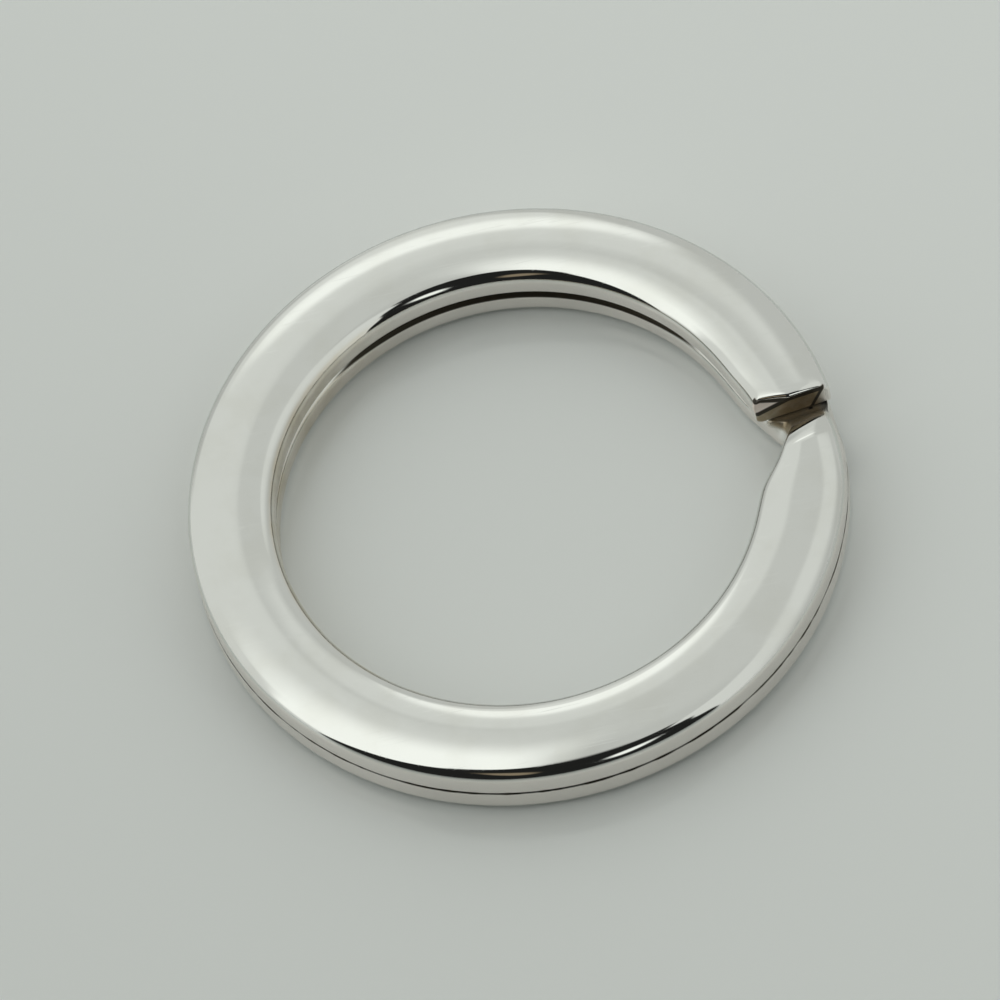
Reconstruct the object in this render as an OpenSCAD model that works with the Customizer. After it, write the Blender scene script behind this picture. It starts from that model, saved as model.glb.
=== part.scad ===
// Split key ring: one flat wire wound on edge into two turns that lie on each other.
// The hole's axis is Z, the lower turn rests on Z = 0, and the cross-over is at +X.
// All sizes are in millimetres.

/* [Ring] */
// Outside diameter of the coil
ring_d = 30; // [22:0.5:45]
// Width of the band, from the outer wall to the hole
band_w = 3.95; // [3:0.05:5.5]
// Thickness of the wire, one turn
wire_t = 1.55; // [1.2:0.05:2.2]
// Air gap between the two turns
turn_gap = 0.05; // [0.02:0.01:0.15]

/* [Wire edges] */
// Radius of the outer shoulder on the exposed face of a turn
outer_shoulder_r = 0.5; // [0.2:0.02:0.6]
// Radius of the inner shoulder on the exposed face of a turn
inner_shoulder_r = 0.42; // [0.2:0.02:0.6]
// Radius of the outer corner at the seam between the turns
seam_outer_r = 0.08; // [0.04:0.01:0.3]
// Radius of the inner corner at the seam between the turns
seam_inner_r = 0.26; // [0.04:0.01:0.4]
// Width of the flat land in the middle of the exposed face
land_w = 1.2; // [0.4:0.1:1.6]
// Fall of the exposed face from its land to each shoulder
crown_drop = 0.05; // [0.01:0.01:0.15]

/* [Cross-over] */
// Slope of the wire in the middle of the cross-over, in degrees
jog_slope = 45; // [32:1:52]
// Bend radius of the wire's centre line at the crest and the trough
jog_bend_r = 1.2; // [1.15:0.05:1.8]
// How far the inner edge of the crest draws in where the wire is bent
nose_inner = 0.85; // [0:0.05:1.4]
// How far the outer edge of the crest draws in where the wire is bent
nose_outer = 0.45; // [0:0.05:0.8]
// How far the outer edge of the crest leads along the wire where it bends down
crest_lead = 0.5; // [0:0.05:0.6]
// Length along the wire over which the crest draws in, each way
nose_reach = 3.4; // [2.5:0.1:4.5]
// Depth of the relief that eases the hole's wall at the cross-over
relief_depth = 0.4; // [0.1:0.05:0.8]
// Half width of that relief, along the hole's wall
relief_half_w = 3.2; // [2:0.1:4]

/* [Wire ends] */
// Clearance between the end of a turn and the wire that crosses it
end_gap = 0.06; // [0.03:0.01:0.3]
// Length of the chamfer on the inner corner of each end, along the wire
end_chamfer_l = 0.5; // [0.2:0.05:1]
// Width of the same chamfer, across the band
end_chamfer_w = 1.7; // [0.6:0.1:2.6]
// Depth of the same chamfer, through the wire
end_chamfer_h = 0.55; // [0.3:0.05:1.1]

/* [Hidden] */
$fn = 72;

ring_r = ring_d / 2;
hole_r = ring_r - band_w;
mid_r = ring_r - band_w / 2;
pitch = wire_t + turn_gap;
lower_z = wire_t / 2;
upper_z = lower_z + pitch;
deg_per_mm = 180 / (PI * mid_r);

// The cross-over is an S: a crest arc, a straight slope and a trough arc.
jog_arc = jog_bend_r * sin(jog_slope);
jog_straight = (pitch - 2 * jog_bend_r * (1 - cos(jog_slope))) / tan(jog_slope);
jog_half = jog_arc + jog_straight / 2;
jog_deg = jog_half * deg_per_mm;
nose_deg = nose_reach * deg_per_mm;
// The swept stretch reaches past the drawn-in crest, and the plain turns start there. It
// runs a little way into them and is a hair thinner inside, so that they join as one solid.
sweep_deg = ceil(max(nose_deg, jog_deg)) + 3;
tenon_deg = 2;
tenon_inset = 0.004;
end_deg = jog_deg + 180 * end_gap / (PI * hole_r);

// The relief is an arc that bulges out of the hole and is centred on +X.
relief_rise = relief_depth + hole_r - sqrt(pow(hole_r, 2) - pow(relief_half_w, 2));
relief_r = (pow(relief_half_w, 2) + pow(relief_rise, 2)) / (2 * relief_rise);
relief_x = hole_r + relief_depth - relief_r;

crown_n = 2;
corner_n = 5;

function lerp(a, b, k) = a + (b - a) * k;
function smooth(u) = let (c = min(max(u, 0), 1)) c * c * (3 - 2 * c);

// One corner of the wire's section, from the land on its face to its wall.
function quarter(shoulder, drop) =
    let (
        wall = band_w / 2,
        face = wire_t / 2,
        land = land_w / 2,
        tilt = atan(2 * drop / (wall - shoulder - land)),
        run = wall - shoulder + shoulder * sin(tilt) - land
    )
    concat(
        [for (i = [0 : crown_n]) [land + run * i / crown_n, face - drop * pow(i / crown_n, 2)]],
        [for (i = [1 : corner_n])
            let (a = (90 - tilt) * (1 - i / corner_n))
            [
                wall - shoulder + shoulder * cos(a),
                face - drop - shoulder * cos(tilt) + shoulder * sin(a)
            ]]
    );

function flip(points, sx, sy) =
    let (n = len(points), turned = sx * sy < 0)
    [for (i = [0 : n - 1]) let (p = points[turned ? n - 1 - i : i]) [sx * p[0], sy * p[1]]];

// The wire's section about its centre. up = 1 has the rounded shoulders on top, as in the
// upper turn, and up = 0 has them below, as in the lower turn.
function section(up) =
    concat(
        flip(quarter(lerp(seam_outer_r, outer_shoulder_r, up), crown_drop * up), 1, 1),
        flip(quarter(lerp(outer_shoulder_r, seam_outer_r, up), crown_drop * (1 - up)), 1, -1),
        flip(quarter(lerp(inner_shoulder_r, seam_inner_r, up), crown_drop * (1 - up)), -1, -1),
        flip(quarter(lerp(seam_inner_r, inner_shoulder_r, up), crown_drop * up), -1, 1)
    );

// Slope and height of the wire's centre line at a distance s along it.
function jog_tilt(s) =
    let (d = abs(s))
    d >= jog_half ? 0 :
    d <= jog_straight / 2 ? jog_slope :
    asin((jog_half - d) / jog_bend_r);

function jog_z(s) =
    let (
        d = abs(s),
        half_drop = pitch / 2,
        fall = d >= jog_half ? half_drop :
            d <= jog_straight / 2 ? d * tan(jog_slope) :
            half_drop - jog_bend_r * (1 - cos(jog_tilt(s)))
    )
    lower_z + half_drop - sign(s) * fall;

// How much of the crest's drawing-in is present at an angle round the ring.
function nose(angle) =
    let (u = (angle + jog_deg / 6) / nose_deg)
    abs(u) >= 1 ? 0 : pow(cos(90 * u), 2);

// How far the relief moves the hole's wall outwards at an angle round the ring.
function relief(angle) =
    let (reach = pow(relief_r, 2) - pow(relief_x * sin(angle), 2))
    reach <= 0 ? 0 : max(0, relief_x * cos(angle) + sqrt(reach) - hole_r);

// The section carried to an angle round the ring, tilted with the slope of the wire.
function station(angle) =
    let (
        s = angle / deg_per_mm,
        tilt = jog_tilt(s),
        cz = jog_z(s),
        up = 1 - smooth((s / jog_half + 1) / 2),
        draw = nose(angle),
        inset = abs(angle) < sweep_deg ? 0 : tenon_inset
    )
    [for (q = section(up))
        let (
            p = [q[0] * (1 - 2 * inset / band_w), q[1] * (1 - 2 * inset / wire_t)],
            across = p[0] / band_w + 0.5,
            rise = p[1] / wire_t + 0.5,
            ease = relief(angle) * (1 - across),
            shift = ease + draw * rise * (nose_inner * (1 - across) - nose_outer * across),
            r = mid_r + p[0] + shift,
            lead = crest_lead * draw * rise * across * (cz - lower_z) / pitch,
            along = p[1] * sin(tilt) + lead
        )
        [
            r * cos(angle) - along * sin(angle),
            r * sin(angle) + along * cos(angle),
            cz + p[1] * cos(tilt)
        ]];

// Angles of the sweep, close together over the bends.
sweep_angles = concat(
    [-sweep_deg - tenon_deg],
    [for (i = [0 : 9]) lerp(-sweep_deg, -jog_deg, i / 10)],
    [for (i = [0 : 24]) lerp(-jog_deg, jog_deg, i / 24)],
    [for (i = [1 : 10]) lerp(jog_deg, sweep_deg, i / 10)],
    [sweep_deg + tenon_deg]
);

// The cross-over, where the wire steps down from the upper layer to the lower one.
module cross_over() {
    rings = [for (a = sweep_angles) station(a)];
    n = len(rings[0]);
    m = len(rings);
    polyhedron(
        points = [for (ring = rings) for (p = ring) p],
        faces = concat(
            [[for (i = [0 : n - 1]) (i + crown_n + 2) % n]],
            [for (j = [0 : m - 2]) for (i = [0 : n - 1])
                let (k = (i + 1) % n)
                [j * n + i, (j + 1) * n + i, (j + 1) * n + k, j * n + k]],
            [[for (i = [n - 1 : -1 : 0]) (m - 1) * n + (i + crown_n + 2) % n]]
        ),
        convexity = 6
    );
}

// A plain turn, from its cut end round to the swept stretch.
module turn(up, first, last) {
    translate([0, 0, up * pitch + lower_z])
        rotate_extrude(start = first, angle = last - first)
            translate([mid_r, 0]) polygon(section(up));
}

// Wedge that takes the sharp inner corner off the end of the upper turn.
module end_chamfer() {
    reach = band_w;
    top = upper_z + wire_t / 2;
    slope = atan2(end_chamfer_h, end_chamfer_l);
    skew = atan2(end_chamfer_l, end_chamfer_w);
    rotate([0, 0, end_deg])
        translate([hole_r + end_chamfer_w, 0, top])
            rotate([0, 0, -skew])
                rotate([-(90 - slope), 0, 0])
                    translate([-2 * reach, -reach, -reach])
                        cube([3 * reach, reach, 2 * reach]);
}

// The relief as a cutter, for the ends of the turns.
module hole_relief() {
    intersection() {
        translate([relief_x, 0, -pitch]) cylinder(r = relief_r, h = 4 * pitch);
        translate([relief_x, 0, -pitch]) cube([ring_r, ring_r, 4 * pitch]);
    }
}

// The two turns with their cut ends. The lower one is the upper one turned over.
module upper_turn() {
    difference() {
        turn(1, end_deg, 360 - sweep_deg);
        end_chamfer();
        hole_relief();
    }
}

module lower_turn() {
    translate([0, 0, upper_z + lower_z]) rotate([180, 0, 0]) upper_turn();
}

module split_ring() {
    color("silver")
    union() {
        upper_turn();
        cross_over();
        lower_turn();
    }
}

split_ring();
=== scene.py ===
from math import asin, atan2, cos, pi, radians, sin, sqrt, tan

import bpy
from mathutils import Matrix, Vector


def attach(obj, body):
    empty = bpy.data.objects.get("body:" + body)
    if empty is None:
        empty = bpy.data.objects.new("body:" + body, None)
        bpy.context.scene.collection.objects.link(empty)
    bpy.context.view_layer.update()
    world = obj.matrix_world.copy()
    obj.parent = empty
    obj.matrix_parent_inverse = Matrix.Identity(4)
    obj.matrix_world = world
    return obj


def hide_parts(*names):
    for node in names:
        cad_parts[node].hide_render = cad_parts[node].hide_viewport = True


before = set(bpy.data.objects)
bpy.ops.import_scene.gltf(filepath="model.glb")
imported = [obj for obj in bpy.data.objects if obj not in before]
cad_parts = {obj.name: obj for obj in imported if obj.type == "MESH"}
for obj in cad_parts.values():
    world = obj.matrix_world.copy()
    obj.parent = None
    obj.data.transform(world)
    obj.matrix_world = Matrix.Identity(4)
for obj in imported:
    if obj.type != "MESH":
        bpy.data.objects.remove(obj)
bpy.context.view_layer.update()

# ---------------------------------------------------------------------------
# The wire. One length of spring steel, rolled flat with rounded shoulders and
# wound on edge into two turns that lie on each other. It starts as a plain
# round bar, is rolled to its section and is then wound round the hole.
# ---------------------------------------------------------------------------
mm = 0.001

ring_r = 15.0
band_w = 3.95
wire_t = 1.55
turn_gap = 0.05
hole_r = ring_r - band_w
mid_r = ring_r - band_w / 2
pitch = wire_t + turn_gap
lower_z = wire_t / 2
upper_z = lower_z + pitch
deg_per_mm = 180 / (pi * mid_r)

outer_shoulder_r = 0.52
inner_shoulder_r = 0.52
seam_outer_r = 0.08
seam_inner_r = 0.33
face_mid = -0.175
land_half = 0.1
face_tilt = radians(6.5)
outer_wall_mid = 0.05
inner_wall_mid = 0.17

jog_slope = 45.0
jog_bend_r = 1.2
jog_arc = jog_bend_r * sin(radians(jog_slope))
jog_straight = (pitch - 2 * jog_bend_r * (1 - cos(radians(jog_slope)))) / tan(
    radians(jog_slope)
)
jog_half = jog_arc + jog_straight / 2
jog_deg = jog_half * deg_per_mm
nose_inner = 0.85
nose_outer = 0.45
nose_reach = 3.4
nose_deg = nose_reach * deg_per_mm
nose_lead = jog_deg / 6
crest_lead = 0.9
crest_bow = 1.5
tip_draw = 0.47
tip_at, tip_before, tip_after = 0.6, 7.0, 5.6
under_draw = 0.8

end_gap = 0.06
end_deg = jog_deg + 180 * end_gap / (pi * hole_r)

relief_depth = 0.4
relief_half_w = 3.2
relief_soft = 0.16
relief_rise = relief_depth + hole_r - sqrt(hole_r**2 - relief_half_w**2)
relief_r = (relief_half_w**2 + relief_rise**2) / (2 * relief_rise)
relief_x = hole_r + relief_depth - relief_r

crown_n = 10
corner_n = 12


def smooth(u):
    """An S from 0 to 1, level at both ends."""
    u = min(max(u, 0.0), 1.0)
    return u * u * (3 - 2 * u)


def rolled_corner(shoulder, land, tilt):
    """From the edge of a face's land, over its crown and shoulder, to the wall."""
    wall, face = band_w / 2, wire_t / 2
    run = wall - shoulder * (1 - sin(tilt)) - land
    drop = run * tan(tilt) / 2
    points = []
    for i in range(crown_n + 1):
        k = i / crown_n
        points.append((land + run * k, face - drop * k * k))
    for i in range(1, corner_n + 1):
        a = (pi / 2 - tilt) * (1 - i / corner_n)
        across = wall - shoulder + shoulder * cos(a)
        points.append((across, face - drop - shoulder * cos(tilt) + shoulder * sin(a)))
    return points


def rolled_section(up):
    """The wire's section as (across, through) points, with its shoulders on top where up is 1."""
    land_out, land_in = land_half + face_mid, land_half - face_mid
    down = 1 - up
    outer_r, inner_r = outer_shoulder_r - seam_outer_r, inner_shoulder_r - seam_inner_r
    outer_top = rolled_corner(seam_outer_r + outer_r * up, land_out, face_tilt * up)
    outer_low = rolled_corner(seam_outer_r + outer_r * down, land_out, face_tilt * down)
    inner_low = rolled_corner(seam_inner_r + inner_r * down, land_in, face_tilt * down)
    inner_top = rolled_corner(seam_inner_r + inner_r * up, land_in, face_tilt * up)
    return (
        [(face_mid, wire_t / 2)]
        + outer_top
        + [(band_w / 2, outer_wall_mid * (up - down))]
        + [(a, -t) for a, t in reversed(outer_low)]
        + [(face_mid, -wire_t / 2)]
        + [(-a, -t) for a, t in inner_low]
        + [(-band_w / 2, inner_wall_mid * (up - down))]
        + [(-a, t) for a, t in reversed(inner_top)]
    )


def step_tilt(s):
    """The slope of the wire's centre line at a distance along it from the cross-over's middle."""
    d = abs(s)
    if d >= jog_half:
        return 0.0
    if d <= jog_straight / 2:
        return radians(jog_slope)
    return asin((jog_half - d) / jog_bend_r)


def step_height(s):
    """The height of the same line there."""
    d = abs(s)
    if d >= jog_half:
        fall = pitch / 2
    elif d <= jog_straight / 2:
        fall = d * tan(radians(jog_slope))
    else:
        fall = pitch / 2 - jog_bend_r * (1 - cos(step_tilt(s)))
    return lower_z + pitch / 2 - (fall if s > 0 else -fall)


def nose_draw(angle):
    """How much of the crest's drawing-in is present at an angle past the cross-over."""
    u = (angle + nose_lead) / nose_deg
    return 0.0 if abs(u) >= 1 else cos(u * pi / 2) ** 2


def tip_round(angle):
    """How much of the crest's tip is rounded off at an angle past the cross-over."""
    u = (angle - tip_at) / (tip_after if angle > tip_at else tip_before)
    return 0.0 if abs(u) >= 1 else cos(u * pi / 2) ** 2


def relief_ease(angle):
    """How far the relief moves the hole's wall outwards at an angle past the cross-over."""
    reach = relief_r**2 - (relief_x * sin(radians(angle))) ** 2
    if reach <= 0:
        return 0.0
    depth = relief_x * cos(radians(angle)) + sqrt(reach) - hole_r
    return (depth + sqrt(depth**2 + relief_soft**2)) / 2


end_round = 0.16
facet_l = 0.5
facet_reach = 2.5
end_sag = 0.015
end_sag_l = 0.5


def facet_back(p, q):
    """How far the ground facet sets the cut back at a point of the upper turn's section."""
    top, side = face_mid + band_w / 2, wire_t / 2 - inner_wall_mid
    beyond = (face_mid - p) / top - (wire_t / 2 - q) / side
    return facet_l * max(0.0, beyond)


def wound(angle, inset=0.0):
    """The section's corners where the wire has been wound to an angle past the cross-over."""
    s = angle / deg_per_mm
    tilt, height = step_tilt(s), step_height(s)
    up = 1 - smooth((s / jog_half + 1) / 2)
    draw, ease = nose_draw(angle), relief_ease(angle)
    to_end = max(0.0, (last_deg - abs(angle)) / deg_per_mm)
    sag = end_sag * max(0.0, 1 - to_end / end_sag_l) ** 2
    corners = []
    for p, q in rolled_section(up):
        back = facet_back(p, q if up > 0.5 else -q) * (1 - smooth(to_end / facet_reach))
        p *= 1 - 2 * inset / band_w
        q *= 1 - 2 * (inset + sag) / wire_t
        across, rise = p / band_w + 0.5, q / wire_t + 0.5
        shift = ease * (1 - across)
        deep = under_draw + (1 - under_draw) * rise
        shift += draw * (nose_inner * deep * (1 - across) - nose_outer * rise * across)
        shift += tip_draw * tip_round(angle) * deep * (1 - across) ** 2
        lead = crest_lead * draw * rise * across**crest_bow * (height - lower_z) / pitch
        r, along = mid_r + p + shift, q * sin(tilt) + lead
        along += back if angle < 0 else -back
        turned = radians(angle) + along / r
        corners.append(
            Vector((r * cos(turned), r * sin(turned), height + q * cos(tilt))) * mm
        )
    return corners


def spaced(first, last, count):
    """Even steps from the first to one short of the last."""
    return [first + (last - first) * i / count for i in range(count)]


# The upper turn's stations, from the middle of the cross-over to the rounded cut end. The
# lower turn's are the same ones the other way round.
last_deg = 360 - end_deg
round_deg = end_round * deg_per_mm
plain_from, plain_to = 18, last_deg - 12
round_n = 6
one_turn = [
    (a, 0.0)
    for a in spaced(0, jog_deg, 35)
    + spaced(jog_deg, plain_from, 25)
    + spaced(plain_from, plain_to, 216)
    + spaced(plain_to, last_deg - round_deg, 18)
]
for i in range(round_n + 1):
    a = radians(90 * i / round_n)
    one_turn.append((last_deg - round_deg * (1 - sin(a)), end_round * (1 - cos(a))))
stations = [(-a, inset) for a, inset in reversed(one_turn[1:])] + one_turn

# The bar has 1 mm between stations, and is cut into 24 lengths and each of them into 25.
section_n = len(rolled_section(1))
bar_l = (len(stations) - 1) * mm
bar_cuts = (23, 24)

bpy.ops.object.select_all(action="DESELECT")
bpy.ops.mesh.primitive_cylinder_add(
    vertices=section_n, radius=wire_t * mm, depth=bar_l, end_fill_type="NGON"
)
ring = bpy.context.object
ring.name = "split_ring_wire"
for cuts in bar_cuts:
    bpy.ops.object.mode_set(mode="EDIT")
    bpy.ops.mesh.select_mode(type="EDGE")
    bpy.ops.mesh.select_all(action="DESELECT")
    bpy.ops.object.mode_set(mode="OBJECT")
    for e in ring.data.edges:
        a, b = (ring.data.vertices[i].co for i in e.vertices)
        e.select = abs(a.z - b.z) > mm / 2
    bpy.ops.object.mode_set(mode="EDIT")
    bpy.ops.mesh.subdivide(number_cuts=cuts)
    bpy.ops.object.mode_set(mode="OBJECT")

courses = [wound(a, inset) for a, inset in stations]
for v in ring.data.vertices:
    course = round((v.co.z + bar_l / 2) / mm)
    corner = round(atan2(v.co.y, v.co.x) / (2 * pi) * section_n) % section_n
    v.co = courses[course][corner]

bpy.ops.object.mode_set(mode="EDIT")
bpy.ops.mesh.select_all(action="SELECT")
bpy.ops.mesh.normals_make_consistent(inside=False)
bpy.ops.object.mode_set(mode="OBJECT")

# ---------------------------------------------------------------------------
# The cut ends. Each turn ends in a square cut across the wire, and the sharp
# inner corner of the cut is ground off in a slanting facet. The edges that
# the cut and the facet leave are broken by the tumbling before plating.
# ---------------------------------------------------------------------------
crease_r, crease_n = 0.08, 3
low_mid = section_n // 2
side_mid = section_n * 3 // 4
same_place = 0.001 * mm

for course, face in ((0, 0), (-1, low_mid)):
    across_cut = [courses[course][face], courses[course][side_mid]]
    bpy.ops.object.mode_set(mode="EDIT")
    bpy.ops.mesh.select_mode(type="VERT")
    bpy.ops.mesh.select_all(action="DESELECT")
    bpy.ops.object.mode_set(mode="OBJECT")
    for v in ring.data.vertices:
        v.select = min((v.co - end).length for end in across_cut) < same_place
    bpy.ops.object.mode_set(mode="EDIT")
    bpy.ops.mesh.vert_connect_path()
    bpy.ops.mesh.bevel(offset=crease_r * mm, segments=crease_n, clamp_overlap=False)
    bpy.ops.object.mode_set(mode="OBJECT")

bpy.ops.object.shade_smooth_by_angle(angle=radians(40))
bpy.ops.object.modifier_add(type="WEIGHTED_NORMAL")
ring.modifiers[-1].keep_sharp = True
bpy.ops.object.modifier_apply(modifier=ring.modifiers[-1].name)

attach(ring, "root")
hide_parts("split_ring")

# ---------------------------------------------------------------------------
# The plating. Bright silver-coloured metal over polished steel, faintly rippled
# and marked with hairlines. A dull brown film lies on the cut ends, the same brown
# is painted as shade in their notches, painted near-black shade lies in the seam and
# along the cuts' rims, and the walls are duller.
# ---------------------------------------------------------------------------
bright = (0.707, 0.72, 0.697)
worn = (0.68, 0.69, 0.66)
wall_tone = (0.9, 0.86, 0.82)
aged_tone = (0.56, 0.5, 0.38)
# The brown below is the cut ends' film, and it is also painted as shade in the notches.
film_and_shade_brown = (0.37, 0.305, 0.205)
facet_film = (0.9, 0.81, 0.74)
# The near-black below is painted shade, for the seam between the turns and the cuts' rims.
seam_painted_shade = (0.045, 0.04, 0.03)
bright_rough, worn_rough, wall_rough = 0.045, 0.065, 0.27
film_and_shade_rough, facet_rough, painted_shade_rough = 0.36, 0.42, 0.5
bare_metal, film_and_shade_metal, facet_metal = 1.0, 0.7, 0.35
ripple_l, ripple_h = 3.6, 0.008
grain_l, grain_h = 0.12, 0.012
hairline_l, hairline_w, hairline_depth = 4.0, 0.035, 0.00022
hairline_lies, hairline_soft = ((28, 0.74), (-51, 0.75), (83, 0.75)), 0.05


def calc(tree, operation, *values, clamp=False):
    """What a maths node gives for plain numbers and sockets."""
    node = tree.nodes.new("ShaderNodeMath")
    node.operation = operation
    node.use_clamp = clamp
    for i, value in enumerate(values):
        if isinstance(value, (int, float)):
            node.inputs[i].default_value = value
        else:
            tree.links.new(value, node.inputs[i])
    return node.outputs[0]


def distance(tree, x, y):
    """How far the place (x, y) is from the middle."""
    squares = [calc(tree, "MULTIPLY", side, side) for side in (x, y)]
    return calc(tree, "SQRT", calc(tree, "ADD", *squares))


def towards(tree, x, y, turn):
    """How far the place (x, y) lies in a direction that is turned from +x, in degrees."""
    along_x = calc(tree, "MULTIPLY", x, cos(radians(turn)))
    along_y = calc(tree, "MULTIPLY", y, sin(radians(turn)))
    return calc(tree, "ADD", along_x, along_y)


def soft_step(tree, value, edge, soft):
    """0 below the edge and 1 above it, over a soft width."""
    node = tree.nodes.new("ShaderNodeMapRange")
    node.interpolation_type = "SMOOTHSTEP"
    tree.links.new(value, node.inputs["Value"])
    node.inputs["From Min"].default_value = edge - soft / 2
    node.inputs["From Max"].default_value = edge + soft / 2
    return node.outputs["Result"]


def where_all(tree, *masks):
    """1 only where every mask is."""
    result = masks[0]
    for mask in masks[1:]:
        result = calc(tree, "MULTIPLY", result, mask)
    return result


def where_any(tree, *masks):
    """1 where one of the masks is."""
    result = masks[0]
    for mask in masks[1:]:
        result = calc(tree, "MAXIMUM", result, mask)
    return result


def blend(tree, under, over, mask):
    """A colour laid over another, each given as a plain colour or as a socket."""
    node = tree.nodes.new("ShaderNodeMix")
    node.data_type = "RGBA"
    tree.links.new(mask, node.inputs["Factor"])
    for name, colour in (("A", under), ("B", over)):
        if isinstance(colour, tuple):
            node.inputs[name].default_value = (*colour, 1)
        else:
            tree.links.new(colour, node.inputs[name])
    return node.outputs["Result"]


def parts_of(tree, vector):
    """The x, y and z of a vector."""
    node = tree.nodes.new("ShaderNodeSeparateXYZ")
    tree.links.new(vector, node.inputs[0])
    return node.outputs


plating = bpy.data.materials.new("polished_plating")
plating.use_nodes = True
metal = plating.node_tree
surface = metal.nodes["Principled BSDF"]
surface.inputs["Metallic"].default_value = bare_metal
texture = metal.nodes.new("ShaderNodeTexCoord")
spot = texture.outputs["Object"]
spot_x, spot_y, high = parts_of(metal, spot)
turned = calc(metal, "ARCTAN2", spot_y, spot_x)
around = distance(metal, spot_x, spot_y)


def cloudy(size, detail, where=spot):
    """Soft clouds of a given size, in millimetres, as values about 0.5."""
    node = metal.nodes.new("ShaderNodeTexNoise")
    metal.links.new(where, node.inputs["Vector"])
    node.inputs["Scale"].default_value = 1 / (size * mm)
    node.inputs["Detail"].default_value = detail
    return node.outputs["Fac"]


def patches(size, detail, keep, soft):
    """1 where the clouds are past a level and 0 elsewhere, over a soft width."""
    return soft_step(metal, cloudy(size, detail), keep, soft)


def hairlines(lie, keep):
    """Sparse straight marks that lie at an angle; a lower keep leaves more of them."""
    node = metal.nodes.new("ShaderNodeMapping")
    metal.links.new(spot, node.inputs["Vector"])
    node.inputs["Rotation"].default_value = (0, 0, radians(lie))
    node.inputs["Scale"].default_value = (1, hairline_l / hairline_w, 1)
    return soft_step(metal, cloudy(hairline_l, 1.0, node.outputs[0]), keep, hairline_soft)


def minus(value):
    return calc(metal, "MULTIPLY", value, -1.0)


def past(value, edge, soft, unit=mm):
    """1 where a value is past an edge and 0 before it, over a soft width."""
    return soft_step(metal, value, edge * unit, soft * unit)


def short_of(value, edge, soft, unit=mm):
    """1 where a value is short of an edge and 0 past it, over a soft width."""
    return soft_step(metal, minus(value), -edge * unit, soft * unit)


def within(value, stretch, unit=mm):
    """1 on a stretch that is given as (from, soft width, to, soft width)."""
    first, first_soft, last, last_soft = stretch
    return where_all(
        metal,
        past(value, first, first_soft, unit),
        short_of(value, last, last_soft, unit),
    )


def from_to(mask, low, high):
    """A value that goes from one number to another where the mask is."""
    return calc(metal, "MULTIPLY_ADD", mask, high - low, low)


def duller(before, mask, value):
    """A value that goes over to a duller one where the mask is."""
    gain = calc(metal, "SUBTRACT", value, before)
    return calc(metal, "MULTIPLY_ADD", mask, gain, before)


# Where the brown is painted as shade in a notch: in degrees past the cross-over, from the axis
# and in height.
notch_turn = (0.6, 2.4, 6.5, 0.3)
notch_across = (11.9, 0.8, 14.5, 0.6)
notch_high = (1.3, 0.3, 2.86, 0.2)


def notch_shade_at(angle, height):
    """Where the brown film colour is painted as shade in the notch between a cut end and the wire
    that crosses it.
    """
    return where_all(
        metal,
        within(angle, notch_turn, unit=radians(1)),
        within(around, notch_across),
        within(height, notch_high),
    )


# The cut as wound, with its rounded edge, and the stretches of its facet and of the painted shade
# on its rims.
cut_ease = relief_ease(end_deg)
cut_top = end_round + end_sag
cut_side = wire_t / 2 - inner_wall_mid * (1 - 2 * cut_top / wire_t)
cut_mid_r = mid_r + face_mid + cut_ease * (0.5 - face_mid / band_w)
cut_hole_r = hole_r + end_round + cut_ease
cut_h, cut_skin, edge_soft = 1.62, 0.06, 0.04
facet_skin, facet_soft = 0.1, 0.05
facet_stretch = (0.01, 0.03, 0.56, 0.06)
rim_stretch = (-0.06, 0.04, 0.21, 0.05)
rim_top = 0.12
corner_lean = 0.5
corner_dark, corner_dark_soft = 14.66, 0.1
corner_worn, corner_worn_soft = 14.86, 0.08


def cut_end(angle, depth):
    """The cut, its facet and the painted shade on their rims, from the angle and the depth below
    the face.
    """
    to_hole = calc(metal, "SUBTRACT", cut_mid_r * mm, around)
    to_hole = calc(metal, "DIVIDE", to_hole, (cut_mid_r - cut_hole_r) * mm, clamp=True)
    behind = calc(metal, "MULTIPLY", calc(metal, "SUBTRACT", angle, radians(end_deg)), around)
    below = calc(metal, "SUBTRACT", depth, cut_top * mm)
    under = calc(metal, "MULTIPLY_ADD", to_hole, -(cut_side - cut_top) * mm, below)
    off_facet = calc(metal, "MULTIPLY_ADD", behind, (cut_side - cut_top) / facet_l, under)
    at_end = where_all(
        metal,
        short_of(calc(metal, "ABSOLUTE", behind), cut_skin, edge_soft),
        short_of(depth, cut_h, edge_soft),
    )
    cut = where_all(metal, at_end, past(under, edge_soft / 2, edge_soft))
    facet = where_all(
        metal,
        short_of(calc(metal, "ABSOLUTE", off_facet), facet_skin, facet_soft),
        within(behind, facet_stretch),
        past(below, -edge_soft, edge_soft),
    )
    corner = calc(metal, "MULTIPLY_ADD", depth, corner_lean, around)
    # Painted shade along the cut's top edge, the facet's top edge and the end's outer corner.
    rim = where_any(
        metal,
        where_all(metal, at_end, within(under, rim_stretch)),
        where_all(metal, facet, short_of(below, rim_top, edge_soft)),
        where_all(metal, at_end, past(corner, corner_dark, corner_dark_soft)),
    )
    worn_off = where_all(metal, at_end, past(corner, corner_worn, corner_worn_soft))
    rim = calc(metal, "SUBTRACT", rim, worn_off, clamp=True)
    cut = calc(metal, "SUBTRACT", cut, worn_off, clamp=True)
    return cut, facet, rim


deep = calc(metal, "SUBTRACT", (upper_z + wire_t / 2) * mm, high)
patch_l, patch_least = 0.5, 0.45
patchy = calc(metal, "ADD", cloudy(patch_l, 3.0), patch_least, clamp=True)
upper_cut, lower_cut = cut_end(turned, deep), cut_end(minus(turned), high)
cut, facet, rim = (where_any(metal, *pair) for pair in zip(upper_cut, lower_cut))
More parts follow.
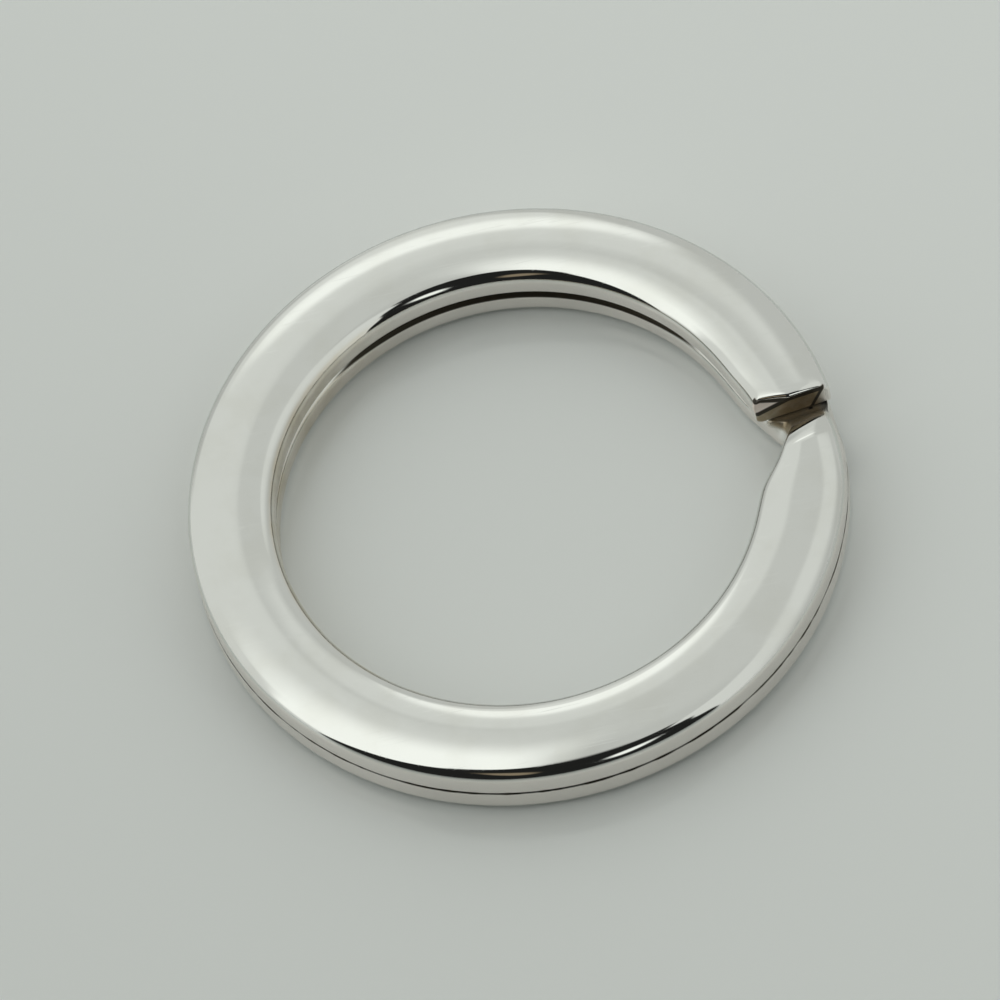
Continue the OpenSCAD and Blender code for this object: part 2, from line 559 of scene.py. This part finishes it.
# Painted shade in the notches, laid on together with the cut ends' real brown film.
notch_shade = where_any(metal, notch_shade_at(turned, high), notch_shade_at(minus(turned), deep))
film_and_notch_shade = where_all(metal, where_any(metal, notch_shade, cut), patchy)

# The painted shade in the seam between the turns, by half its width: outside, and in the hole's
# near and far parts.
seam_z, seam_drop, seam_soft = wire_t + turn_gap / 2, 0.12, 0.1
seam_shade_patches = (1.3, 2.0, 0.5, 0.3)
seam_shade_least, seam_shade_most = 0.06, 0.11
seam_shade_near, seam_shade_far = -0.05, 0.15
far_turn, far_from, far_soft = 80, 8.0, 3.4
inner_half_r, inner_soft = 13.0, 0.5
inside = short_of(around, inner_half_r, inner_soft)
far_side = past(towards(metal, spot_x, spot_y, far_turn), far_from, far_soft)
seam_shade_out = from_to(patches(*seam_shade_patches), seam_shade_least * mm, seam_shade_most * mm)
seam_shade_in = from_to(far_side, seam_shade_near * mm, seam_shade_far * mm)
seam_half = duller(seam_shade_out, inside, seam_shade_in)
seam_at = from_to(inside, seam_z * mm, (seam_z - seam_drop) * mm)
from_seam = calc(metal, "ABSOLUTE", calc(metal, "SUBTRACT", high, seam_at))
# Painted shade: the seam's band, kept off the film, together with the cuts' rims.
painted_shade = past(calc(metal, "SUBTRACT", seam_half, from_seam), 0.0, seam_soft)
painted_shade = where_all(metal, painted_shade, calc(metal, "SUBTRACT", 1.0, film_and_notch_shade))
painted_shade = where_any(metal, painted_shade, rim)

# The walls, by how level the surface is, the wear, and the aged patches on the hole's left.
wall_level, wall_soft = 0.35, 0.4
aged_level, aged_soft = 0.8, 0.3
aged_left, aged_left_soft = -5.0, 7.0
aged_patches = (1.6, 4.0, 0.5, 0.9)
wear_patches = (2.2, 4.0, 0.56, 0.3)
level = calc(metal, "ABSOLUTE", parts_of(metal, texture.outputs["Normal"])[2])
wall = short_of(level, wall_level, wall_soft, unit=1)
wear = patches(*wear_patches)
aged = where_all(
    metal,
    inside,
    short_of(spot_x, aged_left, aged_left_soft),
    short_of(level, aged_level, aged_soft, unit=1),
    patches(*aged_patches),
)

tone = blend(metal, bright, worn, wear)
tone = blend(metal, tone, wall_tone, wall)
tone = blend(metal, tone, aged_tone, aged)
# The brown is the cut ends' film and painted shade in the notches.
tone = blend(metal, tone, film_and_shade_brown, film_and_notch_shade)
tone = blend(metal, tone, facet_film, facet)
# Painted near-black shade in the seam and along the cuts' rims.
tone = blend(metal, tone, seam_painted_shade, painted_shade)
metal.links.new(tone, surface.inputs["Base Color"])

rough = from_to(wear, bright_rough, worn_rough)
rough = duller(rough, wall, wall_rough)
rough = duller(rough, film_and_notch_shade, film_and_shade_rough)
rough = duller(rough, facet, facet_rough)
rough = duller(rough, painted_shade, painted_shade_rough)
metal.links.new(rough, surface.inputs["Roughness"])

metallic = duller(from_to(film_and_notch_shade, bare_metal, film_and_shade_metal), facet, facet_metal)
metal.links.new(metallic, surface.inputs["Metallic"])

marks = where_any(metal, *(hairlines(lie, keep) for lie, keep in hairline_lies))
grain = where_all(metal, film_and_notch_shade, cloudy(grain_l, 3.0))
relief = calc(metal, "MULTIPLY", grain, grain_h * mm)
relief = calc(metal, "MULTIPLY_ADD", cloudy(ripple_l, 1.0), ripple_h * mm, relief)
relief = calc(metal, "MULTIPLY_ADD", marks, -hairline_depth * mm, relief)
bump = metal.nodes.new("ShaderNodeBump")
bump.inputs["Distance"].default_value = 1.0
metal.links.new(relief, bump.inputs["Height"])
metal.links.new(bump.outputs["Normal"], surface.inputs["Normal"])
ring.data.materials.append(plating)

# ---------------------------------------------------------------------------
# The floor. A pale sheet with a faint gloss that the ring lies on. It is the
# stage and no part of the ring.
# ---------------------------------------------------------------------------
# The sheet is painted darker towards the near left: painted shade.
sheet_far = (0.9, 0.94, 0.925)
sheet_near_shaded = (0.775, 0.81, 0.795)
sheet_w, sheet_fade, sheet_lean = 4.0, 0.12, 0.9

bpy.ops.object.select_all(action="DESELECT")
bpy.ops.mesh.primitive_plane_add(size=sheet_w, location=(0, 0, 0))
floor = bpy.context.object
floor.name = "floor"
pale_sheet = bpy.data.materials.new("pale_sheet")
pale_sheet.use_nodes = True
paper = pale_sheet.node_tree
sheet = paper.nodes["Principled BSDF"]
sheet.inputs["Roughness"].default_value = 0.12
sheet.inputs["IOR"].default_value = 1.5
paper_spot = parts_of(paper, paper.nodes.new("ShaderNodeTexCoord").outputs["Object"])
# Painted shade: the sheet's colour goes darker towards the near left.
slant = calc(paper, "MULTIPLY_ADD", paper_spot[0], sheet_lean, paper_spot[1])
fade = soft_step(paper, slant, 0.0, sheet_fade)
paper.links.new(blend(paper, sheet_near_shaded, sheet_far, fade), sheet.inputs["Base Color"])
floor.data.materials.append(pale_sheet)

# ---------------------------------------------------------------------------
# The light. A grey studio with pale walls: a long soft window on the left, a lamp
# high on the far side, and a dark near side with two small glows. Places are in
# degrees from straight above, to the right and to the far side.
# ---------------------------------------------------------------------------
horizon = 90.0
near_zero = 0.0001
studio_tint = (0.985, 1.0, 0.955)
backdrop = (0.56, 0.59, 0.56)
glow_brown = (0.3, 0.24, 0.165)

studio = bpy.data.worlds.new("studio")
bpy.context.scene.world = studio
studio.use_nodes = True
sky = studio.node_tree

aim_x, aim_y, aim_z = parts_of(sky, sky.nodes.new("ShaderNodeTexCoord").outputs["Generated"])
aside = distance(sky, aim_x, aim_y)
from_top = calc(sky, "MULTIPLY", calc(sky, "ARCTAN2", aside, aim_z), 180 / pi)
stretch = calc(sky, "DIVIDE", from_top, calc(sky, "MAXIMUM", aside, near_zero))
to_right = calc(sky, "MULTIPLY", aim_x, stretch)
to_far = calc(sky, "MULTIPLY", aim_y, stretch)


def soft_side(x, y, turn, soft):
    """1 on the side of a line through (x, y) that its normal, turned from +right, points to."""
    edge = x * cos(radians(turn)) + y * sin(radians(turn))
    return soft_step(sky, towards(sky, to_right, to_far, turn), edge, soft)


def soft_below(edge, soft):
    """1 on the near side of an edge that is drawn as a curve of (right, far) places."""
    node = sky.nodes.new("ShaderNodeFloatCurve")
    curve = node.mapping.curves[0]
    whole = 2 * horizon
    places = [((x + horizon) / whole, (y + horizon) / whole) for x, y in edge]
    curve.points[0].location, curve.points[1].location = places[0], places[-1]
    for x, y in places[1:-1]:
        curve.points.new(x, y)
    node.mapping.update()
    share = calc(sky, "DIVIDE", calc(sky, "ADD", to_right, horizon), whole, clamp=True)
    sky.links.new(share, node.inputs["Value"])
    edge_far = calc(sky, "SUBTRACT", calc(sky, "MULTIPLY", node.outputs[0], whole), horizon)
    return soft_step(sky, calc(sky, "SUBTRACT", edge_far, to_far), 0.0, soft)


def soft_spot(x, y, half_x, half_y, soft):
    """1 in an oval about (x, y) and 0 outside it, over a soft share of its half widths."""
    dx = calc(sky, "DIVIDE", calc(sky, "SUBTRACT", to_right, x), half_x)
    dy = calc(sky, "DIVIDE", calc(sky, "SUBTRACT", to_far, y), half_y)
    return calc(sky, "SUBTRACT", 1.0, soft_step(sky, distance(sky, dx, dy), 1.0, soft))


def grey(level):
    return tuple(level * share for share in studio_tint)


right_wall = soft_side(24, 40, 30, 40)
far_left = soft_spot(-35, 68, 28, 16, 0.8)
halo = soft_spot(-1, 43, 8, 6, 1.0)
far_right = where_all(sky, soft_side(6.8, 38, 10, 3.5), soft_side(0, 32, 90, 4))
panel_edge = where_any(sky, soft_side(7.7, 20, 180, 1.5), soft_side(8.1, 26.3, 152, 1.5))
panel = where_all(sky, soft_side(0, 32.2, -90, 2.4), soft_side(-0.6, 30, 0, 2.5), panel_edge)
panel_near = where_all(sky, panel, soft_side(0, 20.5, -90, 3))
lamp = soft_spot(-1.3, 40.4, 7.5, 2.4, 0.9)
window_far = [
    (-90, -8), (-75, -5), (-60, 0), (-30, 14), (-15, 23.5), (-9, 26), (-3, 25),
    (0, 23.5), (10, 22), (90, 22),
]
window_right = soft_side(-1.2, 20, 168, 3.5)
window_left = soft_side(-76, -10, 10, 16)
window = where_all(sky, soft_below(window_far, 8), window_right, window_left)
dark_far = [
    (-90, -30), (-45, -24), (-20, -10), (-10, 4), (-4, 12), (0, 14.5), (3, 13.5),
    (8, 5), (10, -4), (20, -20), (30, -40), (45, -55), (60, -70), (90, -90),
]
dark_side = soft_below(dark_far, 3)
left_glow = soft_spot(-15, -38, 5, 14, 0.9)
right_glow = soft_spot(13, -46, 6, 14, 0.8)

room = grey(0.84)
for shade, place in (
    (grey(0.616), right_wall),
    (grey(0.6), far_left),
    (grey(0.916), halo),
    (grey(0.658), far_right),
    (grey(0.712), panel),
    (grey(0.666), panel_near),
    (grey(1.249), lamp),
    (grey(1.266), window),
    (grey(0.018), dark_side),
    (glow_brown, left_glow),
    (grey(1.208), right_glow),
):
    room = blend(sky, room, shade, place)

seen = sky.nodes.new("ShaderNodeLightPath").outputs["Is Camera Ray"]
shown = blend(sky, room, backdrop, seen)
sky.links.new(shown, sky.nodes["Background"].inputs["Color"])

# ---------------------------------------------------------------------------
# The camera. A long lens on the near side that looks down at 59 degrees, with its
# frame rolled by 13 degrees.
# ---------------------------------------------------------------------------
view_turn = radians(0.52)
view_up = 1.0309
view_roll = -0.2353
view_far = 37.61 * ring_r * mm
sensor_w, lens_reach = 36, 12.4
forward = Vector((0, cos(view_up), -sin(view_up)))
right = Vector((1, 0, 0))
above = right.cross(forward)
across_frame = cos(view_roll) * right + sin(view_roll) * above
up_frame = cos(view_roll) * above - sin(view_roll) * right
look_at = Vector((-0.0527, 0.091, 0)) * ring_r * mm
placed = Matrix((across_frame, up_frame, -forward)).transposed().to_4x4()
placed.translation = look_at - view_far * forward
placed = Matrix.Rotation(view_turn, 4, "Z") @ placed

bpy.ops.object.camera_add(location=placed.to_translation(), rotation=placed.to_euler())
camera = bpy.context.object
camera.data.sensor_width = sensor_w
camera.data.lens = sensor_w * lens_reach
camera.data.clip_start = 0.01
camera.data.clip_end = 10
bpy.context.scene.camera = camera

bpy.context.scene.view_settings.view_transform = "Standard"
